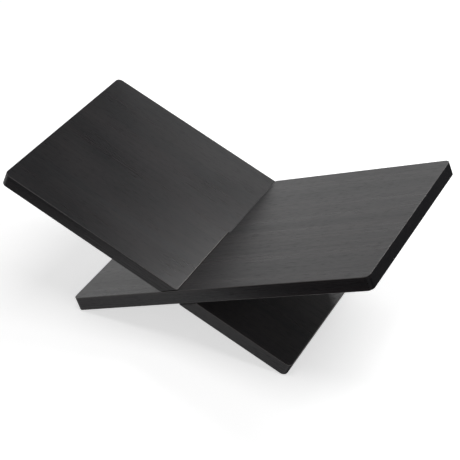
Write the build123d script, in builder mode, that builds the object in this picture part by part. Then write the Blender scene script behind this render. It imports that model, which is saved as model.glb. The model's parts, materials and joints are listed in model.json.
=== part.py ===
from build123d import *
import os
from math import cos, radians, sin

# Stand for an open photo album: two like boards that cross in an X and lock in half-lap slots.
# X runs across the open album, Y from front to back along its spine, Z up from the table.
# The origin is on the table, under the middle of the crossing.

# Driving dimensions, in millimetres and degrees
board_length = 370.0
board_depth = 245.0
board_thickness = 16.0
leg_length = 140.0
lean_angle = 22.5
corner_radius = 6.5
arris_radius = 0.5
foot_trim = 0.6
slot_play = 0.3
slot_mouth_radius = 1.5

# Worked out from the driving dimensions
rest_length = board_length - leg_length
run = cos(radians(lean_angle))
rise = sin(radians(lean_angle))
slot_width = board_thickness + 2 * slot_play
slot_depth = board_depth / 2 + slot_play / 2

# The table takes foot_trim off the round arris of each lower end.
arris_drop = (leg_length - arris_radius) * rise + (board_thickness / 2 - arris_radius) * run
crossing_height = arris_drop + arris_radius - foot_trim
crossing = Vector(0, 0, crossing_height)

os.makedirs("parts", exist_ok=True)

# Each board rises to its own side. Turned half round about Z, one board is the other.
for name, side in (("left_board", -1), ("right_board", 1)):
    up_slope = Vector(side * run, 0, rise)
    other_up_slope = Vector(-side * run, 0, rise)
    to_mouth = Vector(0, side, 0)
    board_plane = Plane(crossing, x_dir=up_slope, z_dir=up_slope.cross(to_mouth))
    mouth_center = crossing + to_mouth * (board_depth / 2)
    mouth_plane = Plane(mouth_center, x_dir=other_up_slope, z_dir=to_mouth)

    with BuildPart() as board:
        with BuildSketch(board_plane):
            with Locations(((rest_length - leg_length) / 2, 0)):
                RectangleRounded(board_length, board_depth, corner_radius)
        extrude(amount=board_thickness / 2, both=True)

        # The slot is cut at the other board's slant, from one long edge to mid depth.
        with BuildSketch(mouth_plane):
            Rectangle(board_length, slot_width)
        extrude(amount=-slot_depth, mode=Mode.SUBTRACT)

        # The slot's mouth is rounded off, so that the boards find each other.
        slanted_edges = board.edges().filter_by(Axis(crossing, other_up_slope))
        mouth_edges = slanted_edges.group_by(Axis(crossing, to_mouth))[-1]
        fillet(mouth_edges, slot_mouth_radius)

        # Every arris of both faces is eased, except at the slot's root.
        arrises = board.faces().filter_by(board_plane).edges()
        long_arrises = arrises.filter_by(Axis(crossing, up_slope))
        root_arrises = long_arrises.group_by(Axis(crossing, to_mouth))[1]
        fillet(arrises - root_arrises, arris_radius)

        # The foot is levelled, so that the board stands on a narrow flat and not on an edge.
        split(bisect_by=Plane.XY)

    board.part.label = name
    export_step(board.part, f"parts/{name}.step")
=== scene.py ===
import json
import math

import bpy
from bpy.props import FloatProperty, FloatVectorProperty, PointerProperty
from mathutils import Matrix, Vector


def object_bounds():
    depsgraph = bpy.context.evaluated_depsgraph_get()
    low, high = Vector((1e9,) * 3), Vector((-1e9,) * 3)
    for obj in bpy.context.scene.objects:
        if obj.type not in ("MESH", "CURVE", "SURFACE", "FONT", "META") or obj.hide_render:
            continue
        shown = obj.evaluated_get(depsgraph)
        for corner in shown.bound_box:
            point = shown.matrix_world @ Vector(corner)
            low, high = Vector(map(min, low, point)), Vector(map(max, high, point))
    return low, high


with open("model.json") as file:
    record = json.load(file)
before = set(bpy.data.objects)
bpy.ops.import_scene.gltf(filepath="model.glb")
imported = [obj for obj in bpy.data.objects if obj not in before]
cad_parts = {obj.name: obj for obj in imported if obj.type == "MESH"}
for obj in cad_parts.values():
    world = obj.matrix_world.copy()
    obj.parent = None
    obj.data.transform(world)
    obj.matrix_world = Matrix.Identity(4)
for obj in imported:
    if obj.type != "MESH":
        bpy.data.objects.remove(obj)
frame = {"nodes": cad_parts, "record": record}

bl_info = {
    "name": "Photo album stand",
    "version": (1, 0, 0),
    "blender": (4, 5, 0),
    "location": "View3D > Sidebar > Album stand",
    "description": "Stains and lacquers the boards of an album stand and sets it in a pale studio",
    "category": "Object",
}

CAD_BOX = [list(corner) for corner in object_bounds()]


def reach(node, direction):
    """How low and how high a node reaches along a direction."""
    along = [direction.dot(vertex.co) for vertex in frame["nodes"][node].data.vertices]
    return min(along), max(along)


# The right board's own axes are up its slope, to its slot's mouth and out of its page side.
# The left board is the same board turned half round about Z.
MOUNTS = {mount["name"]: mount for mount in frame["record"]["mounts"]}
PAGE_SIDE = Vector(MOUNTS["right_page_rest"]["axis"])
UP_SLOPE = Vector((PAGE_SIDE.z, 0, -PAGE_SIDE.x))
LEAN = math.atan2(UP_SLOPE.z, UP_SLOPE.x)
UNDERSIDE, TOP_SIDE = reach("right_board", PAGE_SIDE)
HALF_THICKNESS = (TOP_SIDE - UNDERSIDE) / 2
CROSSING = Vector((0, 0, (TOP_SIDE + UNDERSIDE) / 2 / PAGE_SIDE.z))
LOWER_END, UPPER_END = (end - UP_SLOPE.dot(CROSSING) for end in reach("right_board", UP_SLOPE))
HALF_DEPTH = CAD_BOX[1][1]

# How far the slot reaches along the board from the crossing, where the boards meet at twice the lean
SLOT_REACH = HALF_THICKNESS / math.sin(2 * LEAN) + HALF_THICKNESS / math.tan(2 * LEAN)

# Each board's turn about Z, and the place in the plank that it is cut from
BOARDS = {
    "right_board": (0.0, (0.0, 0.0, 0.0)),
    "left_board": (math.pi, (1.7, 0.9, 0.4)),
}

# The rounding of every arris, and the shares of it below the face between which it starts and ends
ARRIS_RADIUS = 0.0005
ARRIS_FOOT = (1.1, 0.9)
ARRIS_CREST = (0.10, 0.01)

# The distances from a board's end between which its end grain fades out
END_GRAIN_FADE = (0.0003, 0.003)

# The wear and painted highlight of the slot's rims fade out over this length, and stop short of the
# slot's rounded mouth.
SLOT_RIM_FADE = 0.004
MOUTH_RADIUS = 0.0015

# Layers of the grain: the mean of their noise, their lengths, and the widths that the finish doesn't hold
NOISE_MEAN = 0.5
LAYER_LENGTH = {"bands": 0.90, "streaks": 0.50, "fibres": 0.04, "blotches": 0.12, "pores": 0.010}
BLOTCH_WIDTH = 0.05
PORE_TO_FIBRE_WIDTH = 0.33

# Pores open where their noise passes from the first value to the second, and less in the light streaks.
PORE_OPENS = (0.13, 0.25)
PORE_SHUNS_STREAKS = 0.1

# The grain wanders in waves of a length and a width, by up to half of the last two distances.
WANDER_LENGTH = 0.40
WANDER_WIDTH = 0.14
WANDER_ACROSS = 0.008
WANDER_THROUGH = 0.004

# How strongly each layer thins the stain, smooths the lacquer and stands proud
THINS_STAIN = {"bands": 1.1, "streaks": 1.4, "fibres": 0.9, "blotches": 0.8, "pores": -0.4}
SMOOTHS_LACQUER = {"bands": 0.08, "streaks": 0.09, "fibres": 0.08, "blotches": -0.08}
STANDS_PROUD = {"streaks": 0.5, "fibres": 0.4, "pores": -0.3}

# How thin the stain is on the whole, what an arris adds to that, what end grain takes off it,
# and how strongly the fibres speckle the end grain
MEAN_THINNESS = 0.35
ARRIS_THINNESS = 0.5
END_SOAK = 0.45
END_SPECKLE = 2.4

# How far the stain is rubbed off every arris, and off the slot's rims, where it comes off in flecks; the
# same pale colour also paints a highlight along every arris, strongest on the slot's rims
ARRIS_WEAR_AND_HIGHLIGHT = 0.08
SLOT_WEAR_AND_HIGHLIGHT = 0.7
SLOT_WEAR_AND_HIGHLIGHT_FLECKS = 1.5

# How much lacquer an open pore lacks, and how strongly lacquer and bare wood reflect
PORE_LACQUER_LOSS = 0.4
LACQUER_SPECULAR = 0.5
BARE_SPECULAR = 0.05

# Floor, black card, and the heights of direction, 0 level and 1 upright, where wall turns into ceiling
WHITE = (1, 1, 1, 1)
FLOOR_SIZE = 40
FLOOR_ROUGHNESS = 0.8
FLOOR_SPECULAR = 0.2
SEEN_RAYS = ("Is Camera Ray", "Is Glossy Ray", "Is Transmission Ray")
CARD_COLOR = (0.02, 0.02, 0.02, 1)
CARD_LIFT = 0.001
WALL_TOP = 0.10
CEILING_START = 0.80
SENSOR_WIDTH = 36


class AlbumStandFinish(bpy.types.PropertyGroup):
    """Colours and sizes of the boards' finish"""

    stain: FloatVectorProperty(
        name="Stain",
        description="Colour of the wood where the black stain is deepest",
        subtype="COLOR",
        default=(0.0060, 0.0060, 0.0074),
        min=0,
        max=1,
    )
    thin_stain: FloatVectorProperty(
        name="Thin stain",
        description="Colour of the harder streaks, where the stain lets a little brown through",
        subtype="COLOR",
        default=(0.0224, 0.0184, 0.0194),
        min=0,
        max=1,
    )
    # Pale colour of the stain rubbed through on the arrises, which also paints a highlight along them
    worn_and_highlit: FloatVectorProperty(
        name="Worn",
        description="Colour of an arris that is worn through its stain",
        subtype="COLOR",
        default=(0.560, 0.530, 0.500),
        min=0,
        max=1,
    )
    band_width: FloatProperty(
        name="Band width",
        description="Width of the broad tonal bands along the grain",
        subtype="DISTANCE",
        unit="LENGTH",
        default=0.034,
        min=0.005,
    )
    streak_width: FloatProperty(
        name="Streak width",
        description="Width of the streaks along the grain",
        subtype="DISTANCE",
        unit="LENGTH",
        default=0.0048,
        min=0.001,
    )
    fibre_width: FloatProperty(
        name="Fibre width",
        description="Width of the fine fibres along the grain, which the pores' width follows",
        subtype="DISTANCE",
        unit="LENGTH",
        default=0.0012,
        min=0.0002,
    )
    grain_depth: FloatProperty(
        name="Grain depth",
        description="Depth of the grain's fine relief",
        subtype="DISTANCE",
        unit="LENGTH",
        default=0.00003,
        min=0,
    )
    face_roughness: FloatProperty(
        name="Face roughness",
        description="Roughness of the satin lacquer on the two faces and their arrises",
        subtype="FACTOR",
        default=0.30,
        min=0,
        max=1,
    )
    edge_roughness: FloatProperty(
        name="Edge roughness",
        description="Roughness of the thinner lacquer on the long edges",
        subtype="FACTOR",
        default=0.27,
        min=0,
        max=1,
    )
    edge_lacquer: FloatProperty(
        name="Edge lacquer",
        description="How much of the lacquer the long edges have kept",
        subtype="FACTOR",
        default=0.58,
        min=0,
        max=1,
    )
    end_roughness: FloatProperty(
        name="End roughness",
        description="Roughness of bare wood, such as the end grain, which has soaked up its lacquer",
        subtype="FACTOR",
        default=0.80,
        min=0,
        max=1,
    )


class AlbumStandStage(bpy.types.PropertyGroup):
    """Floor, light and camera of the studio"""

    floor_color: FloatVectorProperty(
        name="Floor",
        description="Colour of the pale studio floor",
        subtype="COLOR",
        default=(0.85, 0.85, 0.85),
        min=0,
        max=1,
    )
    floor_glow: FloatProperty(
        name="Floor glow",
        description="Light of its own that the floor shows to the camera and in reflections",
        default=0.60,
        min=0,
    )
    card_distance: FloatProperty(
        name="Card distance",
        description="From the middle of the stand to the black card in front of it",
        subtype="DISTANCE",
        unit="LENGTH",
        default=0.229,
        min=0,
    )
    card_turn: FloatProperty(
        name="Card turn",
        description="How far the card's near edge is turned from the stand's front",
        subtype="ANGLE",
        unit="ROTATION",
        default=math.radians(7.2),
    )
    card_size: FloatProperty(
        name="Card size",
        description="Side of the square black card",
        subtype="DISTANCE",
        unit="LENGTH",
        default=2.4,
        min=0.01,
    )
    wall_level: FloatProperty(
        name="Wall level",
        description="Brightness of the studio's walls, where 1 is white",
        default=0.90,
        min=0,
    )
    ceiling_level: FloatProperty(
        name="Ceiling level",
        description="Brightness of the studio's ceiling, where 1 is white",
        default=0.03,
        min=0,
    )
    main_lamp_place: FloatVectorProperty(
        name="Main lamp place",
        description="Middle of the main soft lamp, behind and above the right board",
        subtype="TRANSLATION",
        unit="LENGTH",
        default=(0.45, 0.70, 0.90),
    )
    main_lamp_size: FloatProperty(
        name="Main lamp size",
        description="Side of the square main lamp",
        subtype="DISTANCE",
        unit="LENGTH",
        default=0.40,
        min=0.01,
    )
    main_lamp_power: FloatProperty(
        name="Main lamp power",
        description="Power of the main lamp",
        subtype="POWER",
        unit="POWER",
        default=4.6,
        min=0,
    )
    back_lamp_place: FloatVectorProperty(
        name="Back lamp place",
        description="Middle of the weak lamp behind the stand",
        subtype="TRANSLATION",
        unit="LENGTH",
        default=(-0.10, 0.95, 0.53),
    )
    back_lamp_size: FloatProperty(
        name="Back lamp size",
        description="Side of the square back lamp",
        subtype="DISTANCE",
        unit="LENGTH",
        default=0.35,
        min=0.01,
    )
    back_lamp_power: FloatProperty(
        name="Back lamp power",
        description="Power of the back lamp",
        subtype="POWER",
        unit="POWER",
        default=0.60,
        min=0,
    )
    top_lamp_place: FloatVectorProperty(
        name="Top lamp place",
        description="Middle of the wide soft lamp overhead",
        subtype="TRANSLATION",
        unit="LENGTH",
        default=(0.0, 0.0, 1.40),
    )
    top_lamp_size: FloatProperty(
        name="Top lamp size",
        description="Side of the square top lamp",
        subtype="DISTANCE",
        unit="LENGTH",
        default=0.90,
        min=0.01,
    )
    top_lamp_power: FloatProperty(
        name="Top lamp power",
        description="Power of the top lamp",
        subtype="POWER",
        unit="POWER",
        default=6.0,
        min=0,
    )
    camera_azimuth: FloatProperty(
        name="Camera azimuth",
        description="How far the camera stands to the right of the front",
        subtype="ANGLE",
        unit="ROTATION",
        default=math.radians(25.9453),
    )
    camera_elevation: FloatProperty(
        name="Camera elevation",
        description="How steeply the camera looks down",
        subtype="ANGLE",
        unit="ROTATION",
        default=math.radians(34.0386),
    )
    camera_roll: FloatProperty(
        name="Camera roll",
        description="How far the camera is turned about its own line of sight",
        subtype="ANGLE",
        unit="ROTATION",
        default=math.radians(0.5562),
    )
    camera_distance: FloatProperty(
        name="Camera distance",
        description="From the middle of the crossing to the camera, along its line of sight",
        subtype="DISTANCE",
        unit="LENGTH",
        default=1.5685,
        min=0.1,
    )
    camera_offset: FloatVectorProperty(
        name="Camera offset",
        description="How far the camera is shifted off the crossing, to its right and up",
        subtype="XYZ",
        unit="LENGTH",
        size=2,
        default=(0.00109, 0.01010),
    )
    camera_lens: FloatProperty(
        name="Camera lens",
        description="Focal length on a sensor 36 mm wide",
        unit="CAMERA",
        default=109.333,
        min=1,
    )


class Wire:
    """A shader socket that takes part in Python arithmetic, which adds the Math nodes."""

    def __init__(self, tree, socket):
        self.tree = tree
        self.socket = socket

    @classmethod
    def node(cls, tree, kind, settings=None, inputs=None, output=0):
        """Adds a node, sets it up, feeds its sockets and gives back one of its outputs."""
        added = tree.nodes.new(kind)
        for name, value in (settings or {}).items():
            setattr(added, name, value)
        for name, value in (inputs or {}).items():
            if isinstance(value, cls):
                tree.links.new(value.socket, added.inputs[name])
            else:
                added.inputs[name].default_value = value
        return cls(tree, added.outputs[output])

    def math(self, operation, other=0.0):
        """Feeds this value and another to a Math node."""
        return Wire.node(self.tree, "ShaderNodeMath", {"operation": operation}, {0: self, 1: other})

    def __add__(self, other):
        return self.math("ADD", other)

    __radd__ = __add__

    def __sub__(self, other):
        return self.math("SUBTRACT", other)

    def __rsub__(self, other):
        return Wire.node(self.tree, "ShaderNodeMath", {"operation": "SUBTRACT"}, {0: other, 1: self})

    def __mul__(self, other):
        return self.math("MULTIPLY", other)

    __rmul__ = __mul__

    def __abs__(self):
        return self.math("ABSOLUTE")

    def step(self, low, high):
        """Rises smoothly from 0 to 1 between two values."""
        return Wire.node(
            self.tree,
            "ShaderNodeMapRange",
            {"interpolation_type": "SMOOTHSTEP"},
            {"Value": self, "From Min": low, "From Max": high},
        )

    def vector_math(self, operation, other):
        """Feeds this vector and another to a Vector Math node."""
        return Wire.node(self.tree, "ShaderNodeVectorMath", {"operation": operation}, {0: self, 1: other})

    def mix_colors(self, first, second):
        """Goes from one colour to another as this value goes from 0 to 1."""
        return Wire.node(
            self.tree,
            "ShaderNodeMix",
            {"data_type": "RGBA", "clamp_factor": True},
            {"Factor": self, "A": first, "B": second},
            "Result",
        )


def new_material(name):
    """Starts a material that has only its output node, and gives back its tree as well."""
    material = bpy.data.materials.new(name)
    material.use_nodes = True
    tree = material.node_tree
    tree.nodes.remove(tree.nodes["Principled BSDF"])
    return material, tree


def show_surface(tree, surface):
    """Joins a shader to the material's output."""
    tree.links.new(surface.socket, tree.nodes["Material Output"].inputs["Surface"])


def place_on_board(tree, turn):
    """Places along a board's own axes: x up the slope and along the grain, y across it, z through it."""
    return Wire.node(
        tree,
        "ShaderNodeMapping",
        {"vector_type": "TEXTURE"},
        {
            "Vector": Wire.node(tree, "ShaderNodeTexCoord", output="Object"),
            "Location": CROSSING,
            "Rotation": (0, -LEAN, turn),
        },
    )


def below_face(share):
    """Distance from the middle of the thickness to a place on the arris, a share of its radius down."""
    return HALF_THICKNESS - share * ARRIS_RADIUS


def board_zones(place):
    """Masks of the two faces with their arrises, the arrises alone, the end grain and the slot's rims."""
    along, across, through = (
        Wire.node(place.tree, "ShaderNodeSeparateXYZ", None, {0: place}, axis) for axis in ("X", "Y", "Z")
    )
    from_middle = abs(through)
    face = from_middle.step(*map(below_face, ARRIS_FOOT))
    flat = from_middle.step(*map(below_face, ARRIS_CREST))

    from_end = (along - LOWER_END).math("MINIMUM", UPPER_END - along)
    end = 1 - from_end.step(*END_GRAIN_FADE)

    # The slot's rims, on one half of the slot, carry wear and a painted highlight
    beside_slot = 1 - abs(along).step(SLOT_REACH, SLOT_REACH + SLOT_RIM_FADE)
    before_root = across.step(0, SLOT_RIM_FADE)
    inside_mouth = 1 - across.step(HALF_DEPTH - SLOT_RIM_FADE, HALF_DEPTH - MOUTH_RADIUS)
    return {
        "face": face,
        "arris": face * (1 - flat),
        "end": end * (1 - face),
        "slot_rim": beside_slot * before_root * inside_mouth,
    }


def grain_noise(place, length, width, detail):
    """Noise about 0 that is drawn out along the grain, with features of a length and a width."""
    drawn_out = place.vector_math("MULTIPLY", (1 / length, 1 / width, 1 / width))
    noise_inputs = {"Vector": drawn_out, "Scale": 1.0, "Detail": detail}
    return Wire.node(place.tree, "ShaderNodeTexNoise", None, noise_inputs) - NOISE_MEAN


def grain_layers(place, cut_from, finish):
    """Layers of the grain on a board: each is noise about 0, but the pores are 1 where they are open."""
    in_plank = place.vector_math("ADD", cut_from)
    wander = grain_noise(in_plank, WANDER_LENGTH, WANDER_WIDTH, 1)
    off_line = {"Y": wander * WANDER_ACROSS, "Z": wander * WANDER_THROUGH}
    grain = in_plank.vector_math("ADD", Wire.node(place.tree, "ShaderNodeCombineXYZ", None, off_line))

    widths = {
        "bands": finish.band_width,
        "streaks": finish.streak_width,
        "fibres": finish.fibre_width,
        "blotches": BLOTCH_WIDTH,
    }
    layers = {name: grain_noise(grain, LAYER_LENGTH[name], width, 2) for name, width in widths.items()}
    dashes = grain_noise(grain, LAYER_LENGTH["pores"], PORE_TO_FIBRE_WIDTH * finish.fibre_width, 0)
    layers["pores"] = (dashes - PORE_SHUNS_STREAKS * layers["streaks"]).step(*PORE_OPENS)
    return layers


def weigh(layers, weights):
    """Adds up the layers of the grain by their weights."""
    return sum(weight * layers[name] for name, weight in weights.items())


def stained_color(zones, layers, finish):
    """Black stain that thins out along the grain and is rubbed off the arrises, with a painted highlight
    along the arrises that is strongest on the slot's rims.
    """
    thinness = MEAN_THINNESS + weigh(layers, THINS_STAIN) + ARRIS_THINNESS * zones["arris"]
    thinness = thinness + zones["end"] * (END_SPECKLE * layers["fibres"] - END_SOAK)
    stained = thinness.mix_colors((*finish.stain, 1), (*finish.thin_stain, 1))
    # The slot's rims get a strong painted highlight in the pale colour, flecked by the fibres, along with
    # their wear
    rim_wear_and_highlight = zones["slot_rim"] * (SLOT_WEAR_AND_HIGHLIGHT + SLOT_WEAR_AND_HIGHLIGHT_FLECKS * layers["fibres"])
    # Every arris gets a faint painted highlight in the pale colour, as well as a little wear
    return (zones["arris"] * (ARRIS_WEAR_AND_HIGHLIGHT + rim_wear_and_highlight)).mix_colors(stained, (*finish.worn_and_highlit, 1))


def black_stained_wood(name, turn, cut_from, finish):
    """Straight-grained wood under black stain and satin lacquer, with dull end grain."""
    material, tree = new_material(name)
    place = place_on_board(tree, turn)
    zones = board_zones(place)
    layers = grain_layers(place, cut_from, finish)
    color = stained_color(zones, layers, finish)
    smoothness = weigh(layers, SMOOTHS_LACQUER)
    relief = Wire.node(
        tree,
        "ShaderNodeBump",
        None,
        {"Height": weigh(layers, STANDS_PROUD), "Strength": 1.0, "Distance": finish.grain_depth},
    )

    rougher_face = finish.face_roughness - finish.edge_roughness
    lacquered = Wire.node(
        tree,
        "ShaderNodeBsdfPrincipled",
        None,
        {
            "Base Color": color,
            "Roughness": finish.edge_roughness + rougher_face * zones["face"] - smoothness,
            "Specular IOR Level": LACQUER_SPECULAR,
            "Normal": relief,
        },
    )
    bare = Wire.node(
        tree,
        "ShaderNodeBsdfPrincipled",
        None,
        {
            "Base Color": color,
            "Roughness": finish.end_roughness + smoothness,
            "Specular IOR Level": BARE_SPECULAR,
            "Normal": relief,
        },
    )
    long_edge = (1 - zones["face"]) * (1 - zones["end"])
    coat = (zones["face"] + long_edge * finish.edge_lacquer) * (1 - PORE_LACQUER_LOSS * layers["pores"])
    show_surface(tree, Wire.node(tree, "ShaderNodeMixShader", None, {0: coat, 1: bare, 2: lacquered}))
    return material


def pale_floor(stage):
    """Matt pale floor that glows a little where the camera and reflections see it."""
    material, tree = new_material("pale_floor")
    seen = sum(Wire.node(tree, "ShaderNodeLightPath", output=ray) for ray in SEEN_RAYS)
    surface = Wire.node(
        tree,
        "ShaderNodeBsdfPrincipled",
        None,
        {
            "Base Color": (*stage.floor_color, 1),
            "Roughness": FLOOR_ROUGHNESS,
            "Specular IOR Level": FLOOR_SPECULAR,
            "Emission Color": WHITE,
            "Emission Strength": seen * stage.floor_glow,
        },
    )
    show_surface(tree, surface)
    return material


def black_card():
    """Dull black card."""
    material, tree = new_material("black_card")
    dull = {"Base Color": CARD_COLOR, "Roughness": 1.0, "Specular IOR Level": 0.0}
    show_surface(tree, Wire.node(tree, "ShaderNodeBsdfPrincipled", None, dull))
    return material


class ALBUMSTAND_OT_finish_boards(bpy.types.Operator):
    """Gives both boards their black stain and satin lacquer"""

    bl_idname = "album_stand.finish_boards"
    bl_label = "Finish boards"

    def execute(self, context):
        finish = context.scene.album_stand_finish
        for name, (turn, cut_from) in BOARDS.items():
            board = frame["nodes"][name]
            board.data.materials.clear()
            board.data.materials.append(black_stained_wood(name + "_wood", turn, cut_from, finish))
        return {"FINISHED"}


class ALBUMSTAND_OT_set_stage(bpy.types.Operator):
    """Lays the pale floor, lights the studio and sets the camera"""

    bl_idname = "album_stand.set_stage"
    bl_label = "Set stage"

    def execute(self, context):
        stage = context.scene.album_stand_stage
        context.scene.view_settings.view_transform = "Standard"
        self.lay_square(context, "floor", FLOOR_SIZE, pale_floor(stage))
        self.lay_card(context, stage)
        self.light_walls(context, stage)
        self.hang_lamps(context, stage)
        self.set_camera(context, stage)
        return {"FINISHED"}

    def lay_square(self, context, name, size, material):
        """Lays a square flat on the ground, as part of the stage."""
        bpy.ops.object.select_all(action="DESELECT")
        bpy.ops.mesh.primitive_plane_add(size=size)
        square = context.object
        square.name = name
        square.data.materials.append(material)
        return square

    def lay_card(self, context, stage):
        """Lays a black card before the stand, which only reflections show."""
        card = self.lay_square(context, "card", stage.card_size, black_card())
        turned = Matrix.Rotation(stage.card_turn, 4, "Z")
        near_edge = Matrix.Translation((0, -stage.card_distance, CARD_LIFT))
        card.matrix_world = near_edge @ turned @ Matrix.Translation((0, -stage.card_size / 2, 0))
        card.visible_camera = False
        card.visible_diffuse = False
        card.visible_shadow = False

    def light_walls(self, context, stage):
        """Surrounds the stage with light that fades from bright walls to a dark ceiling."""
        world = bpy.data.worlds.new("studio")
        context.scene.world = world
        world.use_nodes = True
        tree = world.node_tree
        direction = Wire.node(tree, "ShaderNodeTexCoord", output="Generated")
        height = Wire.node(tree, "ShaderNodeSeparateXYZ", None, {0: direction}, "Z")
        ceiling = height.step(WALL_TOP, CEILING_START)
        level = stage.wall_level + (stage.ceiling_level - stage.wall_level) * ceiling
        background = tree.nodes["Background"]
        background.inputs["Color"].default_value = WHITE
        tree.links.new(level.socket, background.inputs["Strength"])

    def hang_lamps(self, context, stage):
        """Hangs three square soft lamps that face the crossing."""
        for name, place, size, power in (
            ("main_lamp", stage.main_lamp_place, stage.main_lamp_size, stage.main_lamp_power),
            ("back_lamp", stage.back_lamp_place, stage.back_lamp_size, stage.back_lamp_power),
            ("top_lamp", stage.top_lamp_place, stage.top_lamp_size, stage.top_lamp_power),
        ):
            data = bpy.data.lights.new(name, "AREA")
            data.shape = "SQUARE"
            data.size = size
            data.energy = power
            lamp = bpy.data.objects.new(name, data)
            context.scene.collection.objects.link(lamp)
            lamp.location = place
            lamp.rotation_euler = (Vector(place) - CROSSING).to_track_quat("Z", "Y").to_euler()
            lamp.visible_camera = False

    def set_camera(self, context, stage):
        """Sets the camera before the stand, to the right and above it."""
        azimuth, elevation, roll = stage.camera_azimuth, stage.camera_elevation, stage.camera_roll
        level_back = Vector((math.sin(azimuth), -math.cos(azimuth), 0))
        back = level_back * math.cos(elevation) + Vector((0, 0, math.sin(elevation)))
        level_right = Vector((math.cos(azimuth), math.sin(azimuth), 0))
        level_up = back.cross(level_right)
        right = level_right * math.cos(roll) + level_up * math.sin(roll)
        up = level_up * math.cos(roll) - level_right * math.sin(roll)
        to_right, upward = stage.camera_offset
        place = CROSSING + back * stage.camera_distance + right * to_right + up * upward

        data = bpy.data.cameras.new("camera")
        data.sensor_width = SENSOR_WIDTH
        data.lens = stage.camera_lens
        camera = bpy.data.objects.new("camera", data)
        context.scene.collection.objects.link(camera)
        turned = Matrix((right, up, back)).transposed().to_4x4()
        camera.matrix_world = Matrix.Translation(place) @ turned
        context.scene.camera = camera


class ALBUMSTAND_PT_sidebar(bpy.types.Panel):
    """Lists the steps that finish the stand, with the values that they use"""

    bl_idname = "ALBUMSTAND_PT_sidebar"
    bl_label = "Album stand"
    bl_space_type = "VIEW_3D"
    bl_region_type = "UI"
    bl_category = "Album stand"

    def draw(self, context):
        for step, values in (
            (ALBUMSTAND_OT_finish_boards, context.scene.album_stand_finish),
            (ALBUMSTAND_OT_set_stage, context.scene.album_stand_stage),
        ):
            box = self.layout.box()
            box.operator(step.bl_idname)
            for name in values.__annotations__:
                box.prop(values, name)


CLASSES = (
    AlbumStandFinish,
    AlbumStandStage,
    ALBUMSTAND_OT_finish_boards,
    ALBUMSTAND_OT_set_stage,
    ALBUMSTAND_PT_sidebar,
)


def register():
    """Registers the classes and gives the scene their values."""
    for one in CLASSES:
        bpy.utils.register_class(one)
    bpy.types.Scene.album_stand_finish = PointerProperty(type=AlbumStandFinish)
    bpy.types.Scene.album_stand_stage = PointerProperty(type=AlbumStandStage)


def unregister():
    """Takes the values and the classes away again."""
    del bpy.types.Scene.album_stand_stage
    del bpy.types.Scene.album_stand_finish
    for one in reversed(CLASSES):
        bpy.utils.unregister_class(one)


def main():
    """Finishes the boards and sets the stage."""
    register()
    bpy.ops.album_stand.finish_boards()
    bpy.ops.album_stand.set_stage()


if __name__ == "__main__":
    main()
